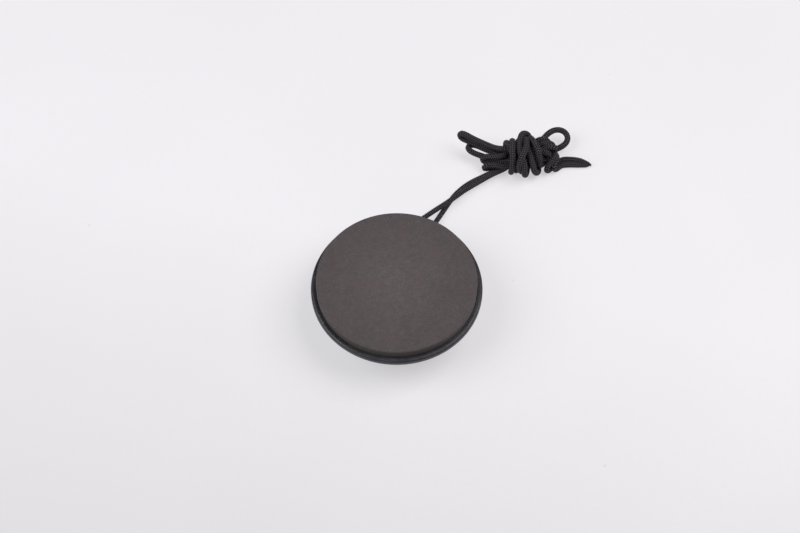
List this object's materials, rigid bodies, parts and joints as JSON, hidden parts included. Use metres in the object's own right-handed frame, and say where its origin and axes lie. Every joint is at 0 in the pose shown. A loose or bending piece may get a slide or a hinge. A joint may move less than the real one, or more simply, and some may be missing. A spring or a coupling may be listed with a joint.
{
  "type": "security tag detacher",
  "caption": "Round magnetic security tag detacher with a bowl-shaped black case, a grey foam foot pad and a thin braided tether cord tied up in a knotted hank.",
  "frame": {"origin": "centre of the flat working face, which rests on the table", "axes": "+Z out of the foot pad's top, along the case's round axis; the tether cord leaves the case towards +Y"},
  "size_m": [0.1114, 0.1575, 0.0256],
  "materials": {
    "case_plastic": "black moulded ABS, satin gloss with fine scuffs",
    "cover_plastic": "black moulded ABS, matt",
    "gasket_rubber": "black nitrile rubber",
    "brass_insert": "knurled brass, bare",
    "black_screw": "black oxide steel",
    "nest_steel": "drawn stainless steel, satin",
    "soft_iron": "zinc plated soft iron",
    "nickel_magnet": "sintered magnet, nickel plated",
    "brass_sleeve": "turned brass",
    "spacer_plastic": "natural nylon",
    "plate_steel": "zinc plated steel",
    "grey_foam": "open-cell polyurethane foam, grey",
    "adhesive_tape": "double-sided adhesive film",
    "foot_foam": "closed-cell EVA foam, fine matt grain",
    "eyelet_plastic": "black nylon, smooth",
    "black_cord": "braided nylon cord, slight sheen"
  },
  "bodies": {
    "root": {"case_shell": "case_plastic", "base_cover": "cover_plastic", "cover_gasket": "gasket_rubber", "cover_inserts": "brass_insert", "cover_screws": "black_screw", "nest_cup": "nest_steel", "pole_piece": "soft_iron", "core_magnet": "nickel_magnet", "core_sleeve": "brass_sleeve", "lower_ring_magnet": "nickel_magnet", "magnet_spacer": "spacer_plastic", "upper_ring_magnet": "nickel_magnet", "magnet_collar": "spacer_plastic", "steel_yoke": "soft_iron", "retaining_ring": "plate_steel", "retaining_washers": "plate_steel", "retaining_screws": "black_screw", "cushion_disc": "grey_foam", "pad_adhesive": "adhesive_tape", "foot_pad": "foot_foam", "cord_eyelets": "eyelet_plastic", "cord_bight": "black_cord", "cord_left": "black_cord", "cord_right": "black_cord", "cord_hank": "black_cord", "cord_loop": "black_cord", "cord_tail": "black_cord"}
  },
  "joints": []
}
